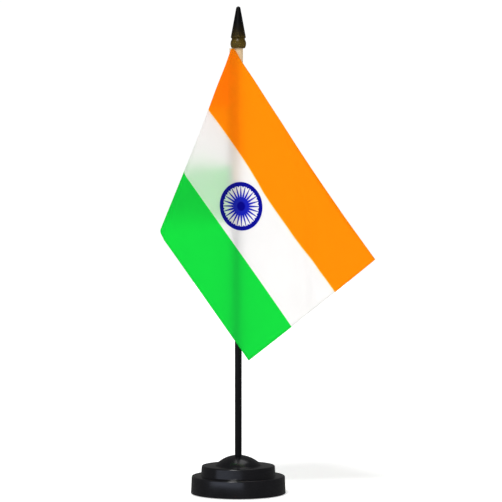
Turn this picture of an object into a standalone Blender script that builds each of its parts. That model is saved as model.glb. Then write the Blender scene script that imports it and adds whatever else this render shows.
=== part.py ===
"""Desk flag stand: a two-tier weighted foot, a thin pole, a spear cap, and a flag folded round its hoist.

Metres, +Z up, origin at the centre of the underside on the pole's axis. The front looks along +Y.
"""

import math

import bmesh
import bpy
from mathutils import Vector

MM = 0.001

# Foot
BASE_DIAMETER = 56.4 * MM
UPPER_TIER_DIAMETER = 44.4 * MM
DOME_DIAMETER = 28.0 * MM
LOWER_TIER_TOP = 10.7 * MM
UPPER_TIER_RISE = 6.1 * MM
DOME_RISE = 5.8 * MM
TIER_DRAFT = 0.4 * MM
RIM_RADIUS = 0.6 * MM
SHELL_WALL = 1.8 * MM
RIM_LIFT = 0.4 * MM
BOSS_WALL = 2.2 * MM
RIB_THICKNESS = 1.4 * MM
RIB_COUNT = 4
SOCKET_DEPTH = 17.0 * MM
SOCKET_FLOOR = 1.2 * MM
PAD_THICKNESS = 1.0 * MM
COVER_THICKNESS = 1.6 * MM
COVER_LEDGE = 1.0 * MM
PAD_MARGIN = 1.2 * MM

# Pole and cap
POLE_DIAMETER = 4.1 * MM
POLE_EXPOSED = 242.3 * MM
POLE_CHAMFER = 0.3 * MM
FINIAL_LENGTH = 24.7 * MM
FINIAL_BORE_DEPTH = 12.0 * MM
COLLAR_DIAMETER = 9.3 * MM
COLLAR_HEIGHT = 5.0 * MM
GROOVE_DIAMETER = 7.7 * MM
GROOVE_HEIGHT = 0.8 * MM
RIDGE_DIAMETER = 8.9 * MM
TIP_DIAMETER = 3.0 * MM

# Flag
FLAG_FLY = 152.4 * MM
FLAG_HOIST = 101.6 * MM
CLOTH_THICKNESS = 0.5 * MM
SLEEVE_WALL = 0.5 * MM
SLEEVE_ABOVE_FLAG = 2.2 * MM
SLEEVE_BELOW_FLAG = 1.0 * MM
HEADING = math.radians(19.2)  # how far the front panel's fly end is turned towards the front
FLY_BEND = math.radians(124.0)  # how much the front panel keeps turning, for each metre past the pole
FOLD_TILT = math.radians(21.7)  # the fold's roll against the vertical
FOLD_OPENING = math.radians(15.9)  # between the back panel and the front panel
ROLL_HEADROOM = 8.8 * MM  # the roll's cone runs to a point this far above the flag's top edge
HOIST_REACH = 1.9 * MM  # the hoist edge lies this far past where the back panel touches the sleeve
ROLL_STEPS = 14
BACK_STEPS = 4
FRONT_STEPS = 18
RAY_STEPS = 12

# What keeps neighbours apart
FIT_GAP = 0.3 * MM
MERGE = 0.01 * MM

COLOURS = {
    "base_shell": ((0.006, 0.006, 0.007), 0.32, 0.0),
    "ballast_ring": ((0.18, 0.18, 0.19), 0.6, 1.0),
    "bottom_cover": ((0.010, 0.010, 0.011), 0.5, 0.0),
    "base_pad": ((0.015, 0.03, 0.018), 1.0, 0.0),
    "pole": ((0.010, 0.010, 0.011), 0.3, 0.0),
    "finial": ((0.035, 0.022, 0.006), 0.25, 0.6),
    "hoist_sleeve": ((0.76, 0.62, 0.45), 0.8, 0.0),
    "flag_cloth": ((0.85, 0.83, 0.80), 0.45, 0.0),
}

# Heights that follow
COVER_BOTTOM = PAD_THICKNESS + FIT_GAP
COVER_TOP = COVER_BOTTOM + COVER_THICKNESS
UPPER_TIER_TOP = LOWER_TIER_TOP + UPPER_TIER_RISE
DOME_TOP = UPPER_TIER_TOP + DOME_RISE
SOCKET_BOTTOM = DOME_TOP - SOCKET_DEPTH
BORE_RADIUS = POLE_DIAMETER / 2 + FIT_GAP
BOSS_RADIUS = BORE_RADIUS + BOSS_WALL
FINIAL_BOTTOM = DOME_TOP + POLE_EXPOSED
FINIAL_TOP = FINIAL_BOTTOM + FINIAL_LENGTH
SLEEVE_RADIUS = BORE_RADIUS + SLEEVE_WALL
SLEEVE_TOP = FINIAL_BOTTOM - FIT_GAP
FLAG_TOP = SLEEVE_TOP - SLEEVE_ABOVE_FLAG
FLAG_BOTTOM = FLAG_TOP - FLAG_HOIST


def clear_scene():
    for obj in list(bpy.data.objects):
        bpy.data.objects.remove(obj, do_unlink=True)


def new_collection(name):
    collection = bpy.data.collections.new(name)
    bpy.context.scene.collection.children.link(collection)
    return collection


def paint(obj):
    colour, roughness, metallic = COLOURS[obj.name]
    material = bpy.data.materials.new(obj.name)
    material.use_nodes = True
    shader = material.node_tree.nodes["Principled BSDF"]
    shader.inputs["Base Color"].default_value = (*colour, 1.0)
    shader.inputs["Roughness"].default_value = roughness
    shader.inputs["Metallic"].default_value = metallic
    obj.data.materials.append(material)


def add_mesh(name, mesh, collection):
    obj = bpy.data.objects.new(name, mesh)
    collection.objects.link(obj)
    return obj


def rounded(corners, steps=3):
    """The outline through (radius, height, fillet) corners, with an arc where the fillet isn't 0."""
    points = []
    for index, (radius, height, fillet) in enumerate(corners):
        corner = Vector((radius, height))
        if not fillet:
            points.append(corner)
            continue
        before = Vector(corners[index - 1][:2]) - corner
        after = Vector(corners[(index + 1) % len(corners)][:2]) - corner
        half = before.angle(after) / 2
        centre = corner + (before.normalized() + after.normalized()).normalized() * fillet / math.sin(half)
        start = corner + before.normalized() * fillet / math.tan(half) - centre
        turn = start.angle_signed(corner + after.normalized() * fillet / math.tan(half) - centre)
        for step in range(steps + 1):
            angle = -turn * step / steps
            turned = Vector((
                start.x * math.cos(angle) - start.y * math.sin(angle),
                start.x * math.sin(angle) + start.y * math.cos(angle),
            ))
            points.append(centre + turned)
    return points


def turned(name, outline, steps, collection, location=(0.0, 0.0, 0.0), ring=False):
    """A turned piece: an outline of (radius, height) that runs down its outer side, screwed round Z."""
    mesh = bpy.data.meshes.new(name)
    build = bmesh.new()
    vertices = [build.verts.new((point[0], 0.0, point[1])) for point in outline]
    for first, second in zip(vertices, vertices[1:]):
        build.edges.new((first, second))
    if ring:
        build.edges.new((vertices[-1], vertices[0]))
    build.to_mesh(mesh)
    build.free()
    obj = add_mesh(name, mesh, collection)
    obj.location = location
    screw = obj.modifiers.new("turn", "SCREW")
    screw.steps = steps
    screw.render_steps = steps
    screw.use_merge_vertices = True
    screw.merge_threshold = MERGE
    screw.use_smooth_shade = True
    return obj


def dome_outline(steps=8):
    """The dome from the pole's bore down to the upper tier: a spherical cap."""
    half = DOME_DIAMETER / 2
    radius = (half**2 + DOME_RISE**2) / (2 * DOME_RISE)
    first = math.asin(BORE_RADIUS / radius)
    last = math.asin(half / radius)
    angles = [first + (last - first) * step / steps for step in range(steps + 1)]
    drop = DOME_TOP - radius
    return [(radius * math.sin(angle), drop + radius * math.cos(angle)) for angle in angles]


def base_outline():
    base = BASE_DIAMETER / 2
    upper = UPPER_TIER_DIAMETER / 2
    rebate = base - TIER_DRAFT - COVER_LEDGE
    lower_wall = rebate - COVER_LEDGE
    outside = rounded([
        (DOME_DIAMETER / 2, UPPER_TIER_TOP, 0),
        (upper - TIER_DRAFT, UPPER_TIER_TOP, RIM_RADIUS),
        (upper, LOWER_TIER_TOP, 0),
        (base - TIER_DRAFT, LOWER_TIER_TOP, RIM_RADIUS),
        (base, RIM_LIFT, 0),
        (rebate, RIM_LIFT, 0),
        (rebate, COVER_TOP + FIT_GAP, 0),
        (lower_wall, COVER_TOP + FIT_GAP, 0),
        (lower_wall, LOWER_TIER_TOP - SHELL_WALL, 0),
        (upper - TIER_DRAFT - SHELL_WALL, LOWER_TIER_TOP - SHELL_WALL, 0),
        (upper - TIER_DRAFT - SHELL_WALL, UPPER_TIER_TOP - SHELL_WALL, 0),
        (BOSS_RADIUS, UPPER_TIER_TOP - SHELL_WALL, 0),
        (BOSS_RADIUS, SOCKET_BOTTOM - SOCKET_FLOOR, 0),
        (0, SOCKET_BOTTOM - SOCKET_FLOOR, 0),
    ])
    bore = [(0, SOCKET_BOTTOM), (BORE_RADIUS, SOCKET_BOTTOM)]
    return bore + dome_outline()[:-1] + outside


def base_shell(parts, cutters):
    """The moulding: two tiers, the dome, and a ribbed boss with the pole's socket; open underneath."""
    shell = turned("base_shell", base_outline(), 48, parts)
    inner = BOSS_RADIUS - BOSS_WALL / 2
    outer = UPPER_TIER_DIAMETER / 2 - TIER_DRAFT - SHELL_WALL / 2
    top = UPPER_TIER_TOP - SHELL_WALL / 2
    bottom = LOWER_TIER_TOP - SHELL_WALL / 2
    for index in range(RIB_COUNT):
        angle = 2 * math.pi * (index + 0.5) / RIB_COUNT
        bpy.ops.mesh.primitive_cube_add(size=1)
        rib = bpy.context.object
        rib.name = f"rib_{index + 1}"
        middle = (inner + outer) / 2
        rib.location = (middle * math.cos(angle), middle * math.sin(angle), (top + bottom) / 2)
        rib.rotation_euler.z = angle
        rib.scale = (outer - inner, RIB_THICKNESS, top - bottom)
        for collection in rib.users_collection:
            collection.objects.unlink(rib)
        cutters.objects.link(rib)
        rib.hide_render = True
        rib.display_type = "WIRE"
        union = shell.modifiers.new(rib.name, "BOOLEAN")
        union.operation = "UNION"
        union.object = rib
    return shell


def ballast_ring(parts):
    """The weight: a ring round the boss, between the cover and the lower tier's roof."""
    outer = BASE_DIAMETER / 2 - TIER_DRAFT - 2 * COVER_LEDGE - FIT_GAP
    inner = BOSS_RADIUS + FIT_GAP
    top = LOWER_TIER_TOP - SHELL_WALL - FIT_GAP
    bottom = COVER_TOP + FIT_GAP
    chamfer = RIM_RADIUS
    outline = [
        (inner, top),
        (outer - chamfer, top),
        (outer, top - chamfer),
        (outer, bottom),
        (inner, bottom),
    ]
    return turned("ballast_ring", outline, 48, parts, ring=True)


def bottom_cover(parts):
    """The disc that closes the moulding, in the rebate of its wall."""
    outer = BASE_DIAMETER / 2 - TIER_DRAFT - COVER_LEDGE - FIT_GAP
    outline = [(0, COVER_TOP), (outer, COVER_TOP), (outer, COVER_BOTTOM), (0, COVER_BOTTOM)]
    return turned("bottom_cover", outline, 48, parts)


def base_pad(parts):
    """The felt disc that the stand rests on."""
    outer = BASE_DIAMETER / 2 - TIER_DRAFT - COVER_LEDGE - PAD_MARGIN
    outline = [(0, PAD_THICKNESS), (outer, PAD_THICKNESS), (outer, 0), (0, 0)]
    return turned("base_pad", outline, 48, parts)


def pole(parts):
    """The rod, from the socket's floor to the cap's bore. Its origin is at its foot, on its axis."""
    foot = SOCKET_BOTTOM + FIT_GAP
    top = FINIAL_BOTTOM + FINIAL_BORE_DEPTH - FIT_GAP - foot
    radius = POLE_DIAMETER / 2
    outline = [
        (0, top),
        (radius - POLE_CHAMFER, top),
        (radius, top - POLE_CHAMFER),
        (radius, POLE_CHAMFER),
        (radius - POLE_CHAMFER, 0),
        (0, 0),
    ]
    return turned("pole", outline, 24, parts, location=(0, 0, foot))


def finial(parts):
    """The spear cap, pressed on the pole's top. Its origin is at its underside, on its axis."""
    groove_bottom = COLLAR_HEIGHT
    ridge_bottom = groove_bottom + GROOVE_HEIGHT
    ridge_top = ridge_bottom + RIM_RADIUS * 2
    collar_bulge = COLLAR_HEIGHT * 0.12
    tip_radius = TIP_DIAMETER / 2
    outline = rounded([
        (0, FINIAL_LENGTH, 0),
        (tip_radius, FINIAL_LENGTH, tip_radius * 0.6),
        (RIDGE_DIAMETER / 2, ridge_top, RIM_RADIUS * 0.8),
        (GROOVE_DIAMETER / 2 + RIM_RADIUS / 2, ridge_bottom, 0),
        (GROOVE_DIAMETER / 2, ridge_bottom, 0),
        (GROOVE_DIAMETER / 2, groove_bottom, 0),
        (COLLAR_DIAMETER / 2 - collar_bulge, groove_bottom, RIM_RADIUS / 2),
        (COLLAR_DIAMETER / 2, COLLAR_HEIGHT / 2, COLLAR_HEIGHT / 2),
        (COLLAR_DIAMETER / 2 - collar_bulge, 0, RIM_RADIUS / 2),
        (BORE_RADIUS, 0, 0),
        (BORE_RADIUS, FINIAL_BORE_DEPTH, 0),
        (0, FINIAL_BORE_DEPTH, 0),
    ])
    return turned("finial", outline, 32, parts, location=(0, 0, FINIAL_BOTTOM))


def hoist_sleeve(parts):
    """The cloth tube that the pole goes through. Its origin is at its foot, on the pole's axis."""
    foot = FLAG_BOTTOM - SLEEVE_BELOW_FLAG
    length = SLEEVE_TOP - foot
    outline = [(BORE_RADIUS, length), (SLEEVE_RADIUS, length), (SLEEVE_RADIUS, 0), (BORE_RADIUS, 0)]
    return turned("hoist_sleeve", outline, 24, parts, location=(0, 0, foot), ring=True)


class Fold:
    """How the flat flag lies: a back panel, a conical roll, and a front panel that crosses the pole.

    A flat point is (out, down): its distance from the hoist edge and from the top edge. The roll is a
    cone whose point is above the flag, and both panels touch it, so the cloth is bent and never
    stretched. Rays through the cone's point stay straight lines on the back panel and on the roll.
    """

    def __init__(self):
        back_heading = HEADING + FOLD_OPENING
        back_clear = SLEEVE_RADIUS
        front_clear = SLEEVE_RADIUS + FIT_GAP + CLOTH_THICKNESS / 2
        self.front_way = Vector((math.cos(HEADING), -math.sin(HEADING)))
        self.front_side = Vector((-math.sin(HEADING), -math.cos(HEADING)))
        self.back_way = Vector((math.cos(back_heading), -math.sin(back_heading)))
        self.front_foot = self.front_side * front_clear
        self.past_foot = (front_clear * math.cos(FOLD_OPENING) - back_clear) / math.sin(FOLD_OPENING)
        self.point = self.front_foot + self.front_way * self.past_foot
        self.hoist_gap = self.point.dot(self.back_way) + HOIST_REACH
        self.point_height = FLAG_TOP + ROLL_HEADROOM
        middle = HEADING + FOLD_OPENING / 2
        self.axis = Vector((
            -math.cos(middle) * math.sin(FOLD_TILT),
            math.sin(middle) * math.sin(FOLD_TILT),
            -math.cos(FOLD_TILT),
        ))
        down = Vector((0, 0, -1))
        self.low_side = (down - self.axis * down.dot(self.axis)).normalized()
        self.back_side = self.axis.cross(self.low_side)
        if self.back_side.y < 0:
            self.back_side.negate()
        self.cone = math.asin(math.sin(FOLD_TILT) * math.sin(FOLD_OPENING / 2))
        self.roll_start = math.acos(math.cos(FOLD_TILT) / math.cos(self.cone))
        self.touch = math.acos(math.tan(self.cone) / math.tan(FOLD_TILT))
        self.roll_turn = (2 * math.pi - 2 * self.touch) * math.sin(self.cone)
        self.roll_end = self.roll_start + self.roll_turn

    def placed(self, ray, reach):
        """The point at this distance from the cone's point, on the ray at this angle to the hoist."""
        top = Vector((self.point.x, self.point.y, self.point_height))
        if ray <= self.roll_start:
            out = self.point - self.back_way * reach * math.sin(ray)
            return Vector((out.x, out.y, self.point_height - reach * math.cos(ray)))
        if ray < self.roll_end:
            turn = (ray - self.roll_start) / math.sin(self.cone) + self.touch
            around = self.low_side * math.cos(turn) + self.back_side * math.sin(turn)
            return top + (self.axis * math.cos(self.cone) + around * math.sin(self.cone)) * reach
        swing = ray - self.roll_end - self.roll_start
        along = self.past_foot + reach * math.sin(swing)
        height = self.point_height - reach * math.cos(swing)
        if along <= 0:
            spot = self.front_foot + self.front_way * along
            return Vector((spot.x, spot.y, height))
        heading = HEADING + FLY_BEND * along
        spot = self.front_foot + Vector((
            (math.sin(heading) - math.sin(HEADING)) / FLY_BEND,
            (math.cos(heading) - math.cos(HEADING)) / FLY_BEND,
        ))
        return Vector((spot.x, spot.y, height))

    def rays(self):
        """The angles of the rays, from the hoist's foot to the fly's top, close together on the roll."""
        first = math.atan2(self.hoist_gap, ROLL_HEADROOM + FLAG_HOIST)
        last = math.atan2(self.hoist_gap + FLAG_FLY, ROLL_HEADROOM)
        stretches = (
            (first, self.roll_start, BACK_STEPS),
            (self.roll_start, self.roll_end, ROLL_STEPS),
            (self.roll_end, last, FRONT_STEPS),
        )
        angles = [first]
        for start, end, steps in stretches:
            angles += [start + (end - start) * step / steps for step in range(1, steps + 1)]
        corners = (
            math.atan2(self.hoist_gap, ROLL_HEADROOM),
            math.atan2(self.hoist_gap + FLAG_FLY, ROLL_HEADROOM + FLAG_HOIST),
        )
        for corner in corners:
            nearest = min(range(1, len(angles) - 1), key=lambda index: abs(angles[index] - corner))
            angles[nearest] = corner
        return angles

    def reach(self, ray):
        """Where the ray enters the flag and where it leaves it."""
        sine = max(math.sin(ray), 1e-9)
        cosine = max(math.cos(ray), 1e-9)
        near = max(self.hoist_gap / sine, ROLL_HEADROOM / cosine)
        far = min((self.hoist_gap + FLAG_FLY) / sine, (ROLL_HEADROOM + FLAG_HOIST) / cosine)
        return near, max(near, far)


def flag_cloth(parts):
    """The cloth, as a grid whose columns are rays of the fold's cone, thickened to both sides."""
    fold = Fold()
    rays = fold.rays()
    mesh = bpy.data.meshes.new("flag_cloth")
    build = bmesh.new()
    bmesh.ops.create_grid(build, x_segments=len(rays) - 1, y_segments=RAY_STEPS, size=1.0)
    for vertex in build.verts:
        column = round((vertex.co.x + 1) / 2 * (len(rays) - 1))
        share = (vertex.co.y + 1) / 2
        near, far = fold.reach(rays[column])
        vertex.co = fold.placed(rays[column], near + (far - near) * share)
    bmesh.ops.remove_doubles(build, verts=build.verts, dist=MERGE)
    build.to_mesh(mesh)
    build.free()
    obj = add_mesh("flag_cloth", mesh, parts)
    mesh.shade_smooth()
    solid = obj.modifiers.new("thickness", "SOLIDIFY")
    solid.thickness = CLOTH_THICKNESS
    solid.offset = 0.0
    solid.use_even_offset = True
    return obj


def main():
    clear_scene()
    parts = new_collection("desk_flag_stand")
    cutters = new_collection("cutters")
    made = [
        base_shell(parts, cutters),
        ballast_ring(parts),
        bottom_cover(parts),
        base_pad(parts),
        pole(parts),
        finial(parts),
        hoist_sleeve(parts),
        flag_cloth(parts),
    ]
    for obj in made:
        paint(obj)


main()
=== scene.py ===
"""The looks of a desk flag stand: moulded two-tier foot, coated rod, lacquered cap and satin flag."""

import logging
import math
from dataclasses import dataclass, field
from enum import Enum
from typing import Any, Callable

import bpy
from mathutils import Matrix, Vector


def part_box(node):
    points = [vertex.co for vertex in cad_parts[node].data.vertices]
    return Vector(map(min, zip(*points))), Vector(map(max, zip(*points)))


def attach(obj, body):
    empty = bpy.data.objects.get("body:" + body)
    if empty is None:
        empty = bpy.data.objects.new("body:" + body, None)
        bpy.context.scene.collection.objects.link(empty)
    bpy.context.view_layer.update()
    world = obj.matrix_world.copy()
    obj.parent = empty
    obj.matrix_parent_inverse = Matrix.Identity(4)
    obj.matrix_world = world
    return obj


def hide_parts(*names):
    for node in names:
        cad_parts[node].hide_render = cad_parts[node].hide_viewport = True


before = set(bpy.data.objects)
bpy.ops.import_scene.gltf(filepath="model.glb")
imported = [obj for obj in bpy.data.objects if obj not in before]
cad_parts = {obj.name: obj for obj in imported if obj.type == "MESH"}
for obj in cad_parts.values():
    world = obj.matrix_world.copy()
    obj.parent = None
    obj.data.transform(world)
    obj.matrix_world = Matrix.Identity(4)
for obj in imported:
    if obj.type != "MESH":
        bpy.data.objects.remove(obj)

MM = 0.001
SAME = MM / 1000  # points closer than this are one point
WAVE_REPEAT = math.pi / 10  # the scale at which a wave texture repeats once a unit
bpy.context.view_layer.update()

log = logging.getLogger("desk_flag_stand")

Point = tuple[float, float]
Object = bpy.types.Object
Material = bpy.types.Material
Tree = bpy.types.NodeTree
Node = bpy.types.Node
Socket = bpy.types.NodeSocket


# Shared tools


def linear(hex_colour: str) -> tuple[float, float, float, float]:
    """Turn an sRGB hex colour into the linear colour that a shader takes.

    Args:
        hex_colour: Six hex digits, such as "FF7A02".

    Returns:
        Linear red, green, blue and an alpha of 1.
    """
    parts = [int(hex_colour[place : place + 2], 16) / 255 for place in (0, 2, 4)]
    red, green, blue = (
        part / 12.92 if part <= 0.04045 else ((part + 0.055) / 1.055) ** 2.4 for part in parts
    )
    return red, green, blue, 1.0


def fill(tree: Tree, node: Node, inputs: dict[Any, Any]) -> None:
    """Set a node's inputs, or link them.

    Args:
        tree: The node's tree.
        node: The node.
        inputs: Input name or number to a value, a socket, or a node whose first output in use is taken.
    """
    for key, value in inputs.items():
        if isinstance(value, Node):
            value = next(socket for socket in value.outputs if socket.enabled)
        if isinstance(value, Socket):
            tree.links.new(value, node.inputs[key])
        else:
            node.inputs[key].default_value = value


def add_node(tree: Tree, kind: str, inputs: dict[Any, Any] | None = None, **settings: Any) -> Node:
    """Add a node, set its properties, and fill its inputs.

    Args:
        tree: The material's node tree.
        kind: The node's type name.
        inputs: What fills its inputs, as in fill.
        **settings: Properties of the node itself, such as operation="MULTIPLY".

    Returns:
        The new node.
    """
    node = tree.nodes.new(kind)
    for name, value in settings.items():
        setattr(node, name, value)
    fill(tree, node, inputs or {})
    return node


def new_material(name: str) -> tuple[Material, Tree, Node]:
    """Make a material that holds a Principled shader and its output.

    Args:
        name: The material's name.

    Returns:
        The material, its node tree and its Principled shader.
    """
    material = bpy.data.materials.new(name)
    material.use_nodes = True
    tree = material.node_tree
    return material, tree, tree.nodes["Principled BSDF"]


def two_toned(
    tree: Tree,
    shader: Node,
    tones: tuple[str, str],
    pattern: Node | Socket,
    relief: tuple[Node | Socket, float, float],
    rest: dict[str, Any],
) -> None:
    """Colour a surface between two tones by a pattern, and raise a relief in it.

    Args:
        tree: The material's node tree.
        shader: Its Principled shader.
        tones: The hex colours where the pattern is 0 and where it is 1.
        pattern: What gives the pattern.
        relief: What gives the height, with the bump's strength and its depth in millimetres.
        rest: The shader's other inputs.
    """
    low, high = (linear(tone) for tone in tones)
    mix = {"Factor": pattern, "A": low, "B": high}
    colour = add_node(tree, "ShaderNodeMix", mix, data_type="RGBA")
    height, strength, depth_mm = relief
    raised = {"Height": height, "Strength": strength, "Distance": depth_mm * MM}
    bump = add_node(tree, "ShaderNodeBump", raised)
    fill(tree, shader, {"Base Color": colour, "Normal": bump, **rest})


def deselect_all() -> None:
    """Leave object mode with nothing selected, because operators act on all that is."""
    if bpy.context.mode != "OBJECT":
        bpy.ops.object.mode_set(mode="OBJECT")
    bpy.ops.object.select_all(action="DESELECT")


def apply_modifiers(obj: Object) -> None:
    """Apply every modifier of the object, in order.

    Args:
        obj: The object that has them.
    """
    deselect_all()
    bpy.context.view_layer.objects.active = obj
    obj.select_set(True)
    for modifier in list(obj.modifiers):
        bpy.ops.object.modifier_apply(modifier=modifier.name)


def dress(obj: Object, material: Material) -> None:
    """Give the object this one material."""
    obj.data.materials.clear()
    obj.data.materials.append(material)


def carry(obj: Object, body: str, slot: str, *nodes: str) -> None:
    """Hang a finished piece on its body, hide the nodes that it replaces, and log its face count.

    Args:
        obj: The finished piece.
        body: The body that it moves with.
        slot: Not used.
        *nodes: The nodes that it replaces.
    """
    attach(obj, body)
    if nodes:
        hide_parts(*nodes)
    log.info("%s rides on %s: %d faces", obj.name, body, len(obj.data.polygons))


def smooth(share: float) -> float:
    """Ease a share from 0 to 1, and hold it there."""
    held = min(max(share, 0.0), 1.0)
    return held * held * (3 - 2 * held)


def arc(centre: Point, radius: float, start: float, end: float, steps: int) -> list[Point]:
    """Points along a round stretch of an outline.

    Args:
        centre: The arc's centre, as radius and height.
        radius: The arc's own radius.
        start: Where it starts, in degrees from the outward direction.
        end: Where it ends, in degrees.
        steps: How many pieces it is cut into.

    Returns:
        The points, ends included.
    """
    angles = [math.radians(start + (end - start) * step / steps) for step in range(steps + 1)]
    return [(centre[0] + radius * math.cos(a), centre[1] + radius * math.sin(a)) for a in angles]


@dataclass
class TurnedPiece:
    """A piece turned on a lathe: an outline that one point is drawn along, then spun round Z.

    The outline's points are (radius, height), and it starts and ends on the axis. Each rim to be
    rounded is (radius, height, bevel width).
    """

    name: str
    outline: list[Point]
    rims: list[tuple[float, float, float]] = field(default_factory=list)
    steps: int = 128
    rim_segments: int = 4

    def make(self) -> Object:
        """Draw the outline, spin it, close it and round its rims.

        Returns:
            The turned object, at the origin.
        """
        deselect_all()
        bpy.ops.mesh.primitive_plane_add(size=MM, location=(0, 0, 0))
        obj = bpy.context.object
        obj.name = obj.data.name = self.name
        bpy.ops.object.mode_set(mode="EDIT")
        bpy.ops.mesh.select_mode(type="VERT")
        bpy.ops.mesh.select_all(action="SELECT")
        bpy.ops.mesh.merge(type="CENTER")
        first = self.outline[0]
        bpy.ops.transform.translate(value=(first[0], 0, first[1]))
        for before, after in zip(self.outline, self.outline[1:]):
            step = (after[0] - before[0], 0, after[1] - before[1])
            bpy.ops.mesh.extrude_region_move(TRANSFORM_OT_translate={"value": step})
        bpy.ops.mesh.select_all(action="SELECT")
        bpy.ops.mesh.spin(steps=self.steps, angle=2 * math.pi, center=(0, 0, 0), axis=(0, 0, 1))
        bpy.ops.mesh.select_all(action="SELECT")
        bpy.ops.mesh.remove_doubles(threshold=SAME)
        bpy.ops.mesh.select_all(action="SELECT")
        bpy.ops.mesh.normals_make_consistent(inside=False)
        for radius, height, width in self.rims:
            self.round_rim(obj, radius, height, width)
        bpy.ops.object.mode_set(mode="OBJECT")
        bpy.ops.object.shade_smooth_by_angle(angle=math.radians(30))
        return obj

    def round_rim(self, obj: Object, radius: float, height: float, width: float) -> None:
        """Bevel the ring of edges at this radius and height.

        Args:
            obj: The object being turned, in edit mode.
            radius: The ring's radius.
            height: The ring's height.
            width: How far the bevel reaches on each side.
        """
        bpy.ops.mesh.select_mode(type="EDGE")
        bpy.ops.mesh.select_all(action="DESELECT")
        bpy.ops.object.mode_set(mode="OBJECT")
        near = 10 * SAME
        vertices = obj.data.vertices
        for edge in obj.data.edges:
            ends = [vertices[index].co for index in edge.vertices]
            level = all(abs(end.z - height) < near for end in ends)
            edge.select = level and all(abs(end.xy.length - radius) < near for end in ends)
        bpy.ops.object.mode_set(mode="EDIT")
        bpy.ops.mesh.bevel(offset=width, segments=self.rim_segments, profile=0.5, clamp_overlap=True)


def plain_round(name: str, node: str, rim_width: float, steps: int = 128) -> Object:
    """Turn a plain round piece to a node's size, with both its rims rounded.

    Args:
        name: The piece's name.
        node: The node that it stands for.
        rim_width: How far each rim's bevel reaches.
        steps: How many steps it is turned in.

    Returns:
        The piece.
    """
    low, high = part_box(node)
    radius = high.x
    outline = [(0.0, high.z), (radius, high.z), (radius, low.z), (0.0, low.z)]
    rims = [(radius, high.z, rim_width), (radius, low.z, rim_width)]
    return TurnedPiece(name, outline, rims, steps).make()


# Finishes


class Dye(Enum):
    """The inks of the printed flag, as sRGB hex."""

    TOP_STRIPE = "FFB303"
    MIDDLE_STRIPE = "F8F7F6"
    BOTTOM_STRIPE = "24E864"
    WHEEL_HEART = "0606B4"
    WHEEL_HUB = "2C3AD4"
    WHEEL_RIM = "1618B8"
    SEAM_LINE = "FFE9A0"


@dataclass(frozen=True)
class MouldedPlastic:
    """Injection-moulded ABS: a soft even gloss, with the faint orange peel of the mould's wall."""

    name: str = "moulded_black_abs"
    colour: str = "08080A"
    worn: str = "141417"
    roughness: float = 0.2
    peel_mm: float = 1.2
    rub_mm: float = 14.0

    def material(self) -> Material:
        """Build the plastic: near-black, a little greyer where handling has rubbed it."""
        material, tree, shader = new_material(self.name)
        place = add_node(tree, "ShaderNodeTexCoord").outputs["Object"]
        worn = {"Vector": place, "Scale": 1 / (self.rub_mm * MM), "Detail": 5.0}
        rub = add_node(tree, "ShaderNodeTexNoise", worn)
        sheen = add_node(
            tree,
            "ShaderNodeMapRange",
            {"Value": rub, "To Min": self.roughness - 0.06, "To Max": self.roughness + 0.1},
        )
        skin = {"Vector": place, "Scale": 1 / (self.peel_mm * MM), "Detail": 2.0}
        peel = add_node(tree, "ShaderNodeTexNoise", skin)
        rest = {"Roughness": sheen, "IOR": 1.5}
        two_toned(tree, shader, (self.colour, self.worn), rub, (peel, 0.25, 0.02), rest)
        return material


@dataclass(frozen=True)
class CoatedRod:
    """Drawn steel rod under a thin black coat: satin, with the long faint streaks of drawing."""

    name: str = "coated_drawn_rod"
    colour: str = "040405"
    streak: str = "111113"
    roughness: float = 0.28
    shine: float = 0.28
    streak_mm: float = 0.5

    def material(self) -> Material:
        """Build the coat: streaks are a noise squeezed round the rod and stretched along it."""
        material, tree, shader = new_material(self.name)
        place = add_node(tree, "ShaderNodeTexCoord").outputs["Object"]
        along = add_node(tree, "ShaderNodeMapping", {"Vector": place, "Scale": (1.0, 1.0, 0.01)})
        drawn = {"Vector": along, "Scale": 1 / (self.streak_mm * MM), "Detail": 3.0}
        streaks = add_node(tree, "ShaderNodeTexNoise", drawn)
        sheen = add_node(
            tree,
            "ShaderNodeMapRange",
            {"Value": streaks, "To Min": self.roughness - 0.05, "To Max": self.roughness + 0.12},
        )
        rest = {"Roughness": sheen, "Specular IOR Level": self.shine}
        two_toned(tree, shader, (self.colour, self.streak), streaks, (streaks, 0.2, 0.01), rest)
        return material


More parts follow.
